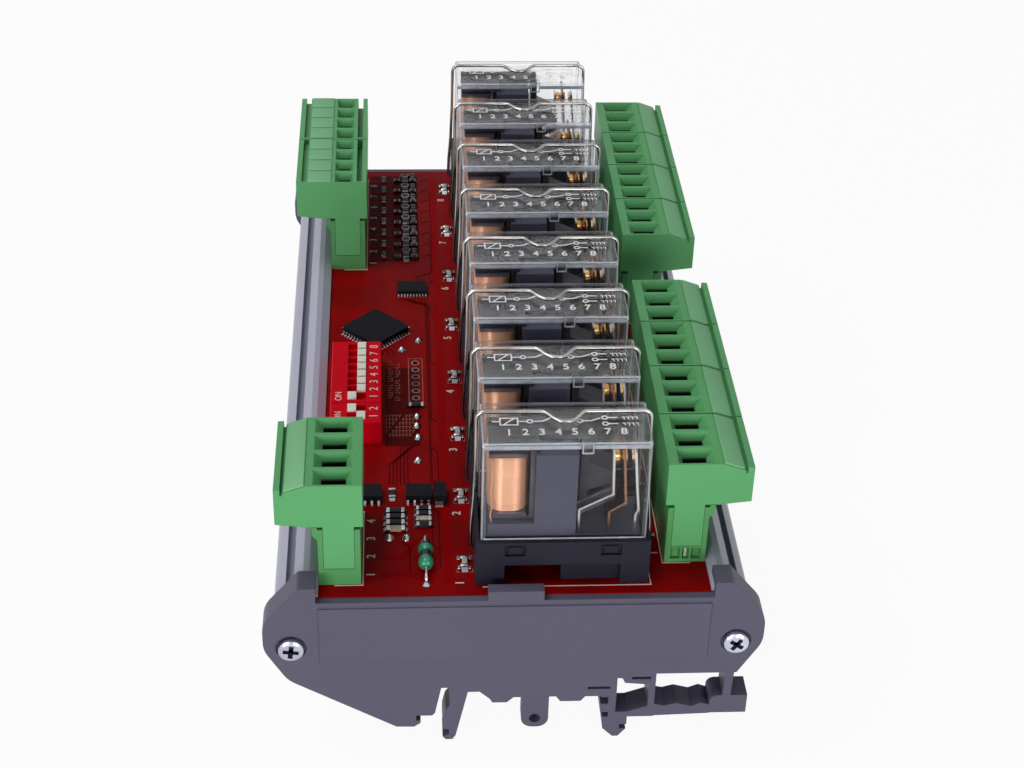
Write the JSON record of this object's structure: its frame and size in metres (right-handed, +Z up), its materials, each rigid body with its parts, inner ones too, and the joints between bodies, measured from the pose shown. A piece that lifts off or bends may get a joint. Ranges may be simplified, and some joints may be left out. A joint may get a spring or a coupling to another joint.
{
  "type": "modbus io card",
  "caption": "Open control board in a plastic rail profile, with plug-in relays in clear covers, green pluggable screw terminals and banks of setting switches.",
  "frame": {"origin": "on the rail's centre line at mid length, in the plane of the rail's upper face", "axes": "+Y along the rail towards the rear end cap, +X towards the long row of relay terminals and the sprung jaw, +Z up out of the board"},
  "size_m": [0.0888, 0.1624, 0.0637],
  "materials": {
    "profile_plastic": "extruded, satin",
    "cap_plastic": "moulded, fine matt",
    "plated_steel": "bright plated",
    "board_red": "red solder resist",
    "socket_black": "moulded, matt",
    "relay_grey": "moulded, matt",
    "relay_iron": "plated iron",
    "copper": "enamelled wire and sheet copper",
    "contact_silver": "plated sheet",
    "clear_cover": "clear moulded plastic",
    "terminal_green": "moulded, satin",
    "switch_red": "moulded, satin",
    "slider_white": "moulded",
    "chip_black": "moulded",
    "component_grey": "small soldered parts"
  },
  "bodies": {
    "card": {"profile_tray": "profile_plastic", "end_cap_front": "cap_plastic", "end_cap_rear": "cap_plastic", "cap_screws": "plated_steel", "circuit_board": "board_red", "relay_sockets": "socket_black", "relay_bases": "relay_grey", "relay_yokes": "relay_iron", "coil_bobbins": "relay_grey", "coil_windings": "copper", "fixed_contacts": "contact_silver", "spring_blades": "copper", "retaining_clips": "plated_steel", "clamp_screws": "plated_steel", "switch_bank_2": "switch_red", "switch_bank_8": "switch_red", "main_chip": "chip_black", "small_chips": "chip_black", "board_parts": "component_grey", "relay_cover_1": "clear_cover", "relay_cover_2": "clear_cover", "relay_cover_3": "clear_cover", "relay_cover_4": "clear_cover", "relay_cover_5": "clear_cover", "relay_cover_6": "clear_cover", "relay_cover_7": "clear_cover", "relay_cover_8": "clear_cover", "plug_right_1": "terminal_green", "plug_right_2": "terminal_green", "plug_right_3": "terminal_green", "plug_right_4": "terminal_green", "plug_right_5": "terminal_green", "plug_right_6": "terminal_green", "plug_right_7": "terminal_green", "plug_right_8": "terminal_green", "plug_left_1": "terminal_green", "plug_left_2": "terminal_green", "plug_left_3": "terminal_green", "headers_right_near": "terminal_green", "headers_right_far": "terminal_green", "headers_left_near": "terminal_green", "headers_left_far": "terminal_green"},
    "slider_2_1": {"switch_slider_2_1": "slider_white"},
    "slider_2_2": {"switch_slider_2_2": "slider_white"},
    "slider_8_1": {"switch_slider_8_1": "slider_white"},
    "slider_8_2": {"switch_slider_8_2": "slider_white"},
    "slider_8_3": {"switch_slider_8_3": "slider_white"},
    "slider_8_4": {"switch_slider_8_4": "slider_white"},
    "slider_8_5": {"switch_slider_8_5": "slider_white"},
    "slider_8_6": {"switch_slider_8_6": "slider_white"},
    "slider_8_7": {"switch_slider_8_7": "slider_white"},
    "slider_8_8": {"switch_slider_8_8": "slider_white"},
    "armature_1": {"relay_armature_1": "relay_iron"},
    "armature_2": {"relay_armature_2": "relay_iron"},
    "armature_3": {"relay_armature_3": "relay_iron"},
    "armature_4": {"relay_armature_4": "relay_iron"},
    "armature_5": {"relay_armature_5": "relay_iron"},
    "armature_6": {"relay_armature_6": "relay_iron"},
    "armature_7": {"relay_armature_7": "relay_iron"},
    "armature_8": {"relay_armature_8": "relay_iron"}
  },
  "joints": [
    {"name": "switch_2_1_slide", "type": "slide", "parent": "card", "child": "slider_2_1", "axis": [-1, 0, 0], "range_m": [0, 0.0018]},
    {"name": "switch_2_2_slide", "type": "slide", "parent": "card", "child": "slider_2_2", "axis": [1, 0, 0], "range_m": [0, 0.0018]},
    {"name": "switch_8_1_slide", "type": "slide", "parent": "card", "child": "slider_8_1", "axis": [1, 0, 0], "range_m": [0, 0.0018]},
    {"name": "switch_8_2_slide", "type": "slide", "parent": "card", "child": "slider_8_2", "axis": [-1, 0, 0], "range_m": [0, 0.0018]},
    {"name": "switch_8_3_slide", "type": "slide", "parent": "card", "child": "slider_8_3", "axis": [-1, 0, 0], "range_m": [0, 0.0018]},
    {"name": "switch_8_4_slide", "type": "slide", "parent": "card", "child": "slider_8_4", "axis": [-1, 0, 0], "range_m": [0, 0.0018]},
    {"name": "switch_8_5_slide", "type": "slide", "parent": "card", "child": "slider_8_5", "axis": [-1, 0, 0], "range_m": [0, 0.0018]},
    {"name": "switch_8_6_slide", "type": "slide", "parent": "card", "child": "slider_8_6", "axis": [-1, 0, 0], "range_m": [0, 0.0018]},
    {"name": "switch_8_7_slide", "type": "slide", "parent": "card", "child": "slider_8_7", "axis": [-1, 0, 0], "range_m": [0, 0.0018]},
    {"name": "switch_8_8_slide", "type": "slide", "parent": "card", "child": "slider_8_8", "axis": [-1, 0, 0], "range_m": [0, 0.0018]},
    {"name": "armature_1_hinge", "type": "hinge", "parent": "card", "child": "armature_1", "pos_m": [0.0022, -0.0687, 0.05425], "axis": [0, -1, 0], "range_deg": [0, 3.5], "stiffness_Nm_per_rad": 0.005, "springref_deg": -5.73},
    {"name": "armature_2_hinge", "type": "hinge", "parent": "card", "child": "armature_2", "pos_m": [0.0022, -0.0488, 0.05425], "axis": [0, -1, 0], "range_deg": [0, 3.5], "stiffness_Nm_per_rad": 0.005, "springref_deg": -5.73},
    {"name": "armature_3_hinge", "type": "hinge", "parent": "card", "child": "armature_3", "pos_m": [0.0022, -0.0289, 0.05425], "axis": [0, -1, 0], "range_deg": [0, 3.5], "stiffness_Nm_per_rad": 0.005, "springref_deg": -5.73},
    {"name": "armature_4_hinge", "type": "hinge", "parent": "card", "child": "armature_4", "pos_m": [0.0022, -0.009, 0.05425], "axis": [0, -1, 0], "range_deg": [0, 3.5], "stiffness_Nm_per_rad": 0.005, "springref_deg": -5.73},
    {"name": "armature_5_hinge", "type": "hinge", "parent": "card", "child": "armature_5", "pos_m": [0.0022, 0.0109, 0.05425], "axis": [0, -1, 0], "range_deg": [0, 3.5], "stiffness_Nm_per_rad": 0.005, "springref_deg": -5.73},
    {"name": "armature_6_hinge", "type": "hinge", "parent": "card", "child": "armature_6", "pos_m": [0.0022, 0.0308, 0.05425], "axis": [0, -1, 0], "range_deg": [0, 3.5], "stiffness_Nm_per_rad": 0.005, "springref_deg": -5.73},
    {"name": "armature_7_hinge", "type": "hinge", "parent": "card", "child": "armature_7", "pos_m": [0.0022, 0.0507, 0.05425], "axis": [0, -1, 0], "range_deg": [0, 3.5], "stiffness_Nm_per_rad": 0.005, "springref_deg": -5.73},
    {"name": "armature_8_hinge", "type": "hinge", "parent": "card", "child": "armature_8", "pos_m": [0.0022, 0.0706, 0.05425], "axis": [0, -1, 0], "range_deg": [0, 3.5], "stiffness_Nm_per_rad": 0.005, "springref_deg": -5.73}
  ]
}
